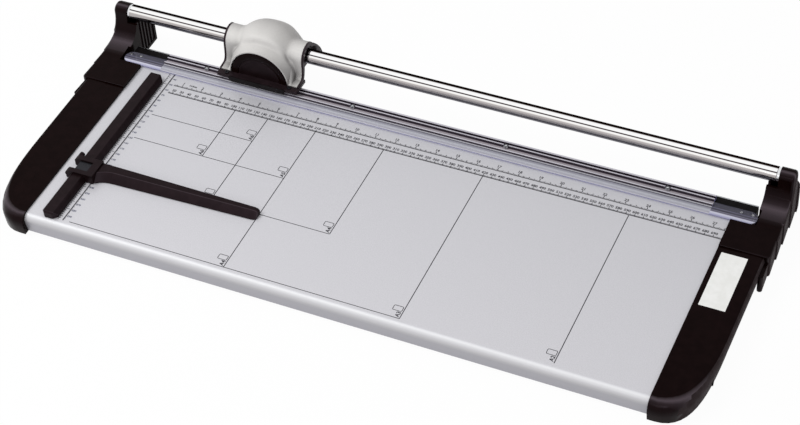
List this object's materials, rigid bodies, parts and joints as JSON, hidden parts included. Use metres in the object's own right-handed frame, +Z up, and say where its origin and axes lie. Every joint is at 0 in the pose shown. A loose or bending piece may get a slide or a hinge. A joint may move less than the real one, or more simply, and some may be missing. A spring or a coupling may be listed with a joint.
{
  "type": "paper trimmer",
  "caption": "Rolling desk paper trimmer: flat table with a nosed front, end caps, a guide rail on two brackets, a sliding cutting head with a round blade, clamp strip, side guide and paper stop.",
  "frame": {"origin": "on the desk, under the middle of the bounding box at rest", "axes": "+X along the cut from the side guide's end to the other, -Y towards the user, +Z up"},
  "size_m": [0.855, 0.3686, 0.0944],
  "materials": {
    "table_sheet": "satin cool grey coating, brighter at the nose",
    "core": "pressed board",
    "black_metal": "satin black",
    "steel": "ground",
    "dark_steel": "blackened",
    "black_plastic": "glossy near-black",
    "dark_plastic": "matt dark grey",
    "white_plastic": "natural acetal",
    "silver_shell": "satin silver paint",
    "chrome": "polished",
    "bright_metal": "bright",
    "pale_label": "plain pale film",
    "rubber": "matt",
    "clear_plastic": "clear, faintly violet at the edges"
  },
  "bodies": {
    "table": {"table_top": "table_sheet", "core_board": "core", "knife_beam": "black_metal", "lower_blade": "steel", "lower_blade_screws": "steel", "left_end_cap": "black_plastic", "right_end_cap": "black_plastic", "left_rail_bracket": "black_plastic", "right_rail_bracket": "black_plastic", "left_rib_panel": "black_plastic", "right_rib_panel": "black_plastic", "guide_rail": "chrome", "rail_collars": "bright_metal", "rail_set_screws": "dark_steel", "cap_screws": "dark_steel", "rubber_feet": "rubber", "note_panel": "pale_label", "side_guide_bar": "black_plastic", "guide_bar_screws": "dark_steel", "strip_screws": "bright_metal", "strip_end_pins": "bright_metal"},
    "cutting_head": {"head_shell": "silver_shell", "head_frame": "black_plastic", "head_carriage": "dark_plastic", "rail_bushes": "white_plastic", "blade_cover": "black_plastic", "cover_disc": "black_plastic", "blade_axle": "steel", "axle_nut": "steel", "blade_washers": "steel", "head_screws": "dark_steel", "strip_shoe": "dark_plastic"},
    "blade": {"rotary_blade": "steel", "blade_hub": "white_plastic"},
    "stop": {"paper_stop": "black_plastic", "stop_yoke": "black_plastic", "stop_spring": "dark_steel"},
    "strip": {"clamp_strip": "clear_plastic"}
  },
  "joints": [
    {"name": "head_slide", "type": "slide", "parent": "table", "child": "cutting_head", "axis": [1, 0, 0], "range_m": [-0.1237, 0.5599]},
    {"name": "blade_spin", "type": "hinge", "parent": "cutting_head", "child": "blade", "pos_m": [-0.2181, 0.12835, 0.045], "axis": [0, 1, 0], "continuous": true},
    {"name": "stop_slide", "type": "slide", "parent": "table", "child": "stop", "axis": [0, 1, 0], "range_m": [-0.058, 0.15]},
    {"name": "strip_lift", "type": "slide", "parent": "table", "child": "strip", "axis": [0, 0, 1], "range_m": [0, 0.0012]}
  ],
  "couplings": [
    {"joint": "blade_spin", "follows": "head_slide", "rad_per_m": 44.444}
  ]
}
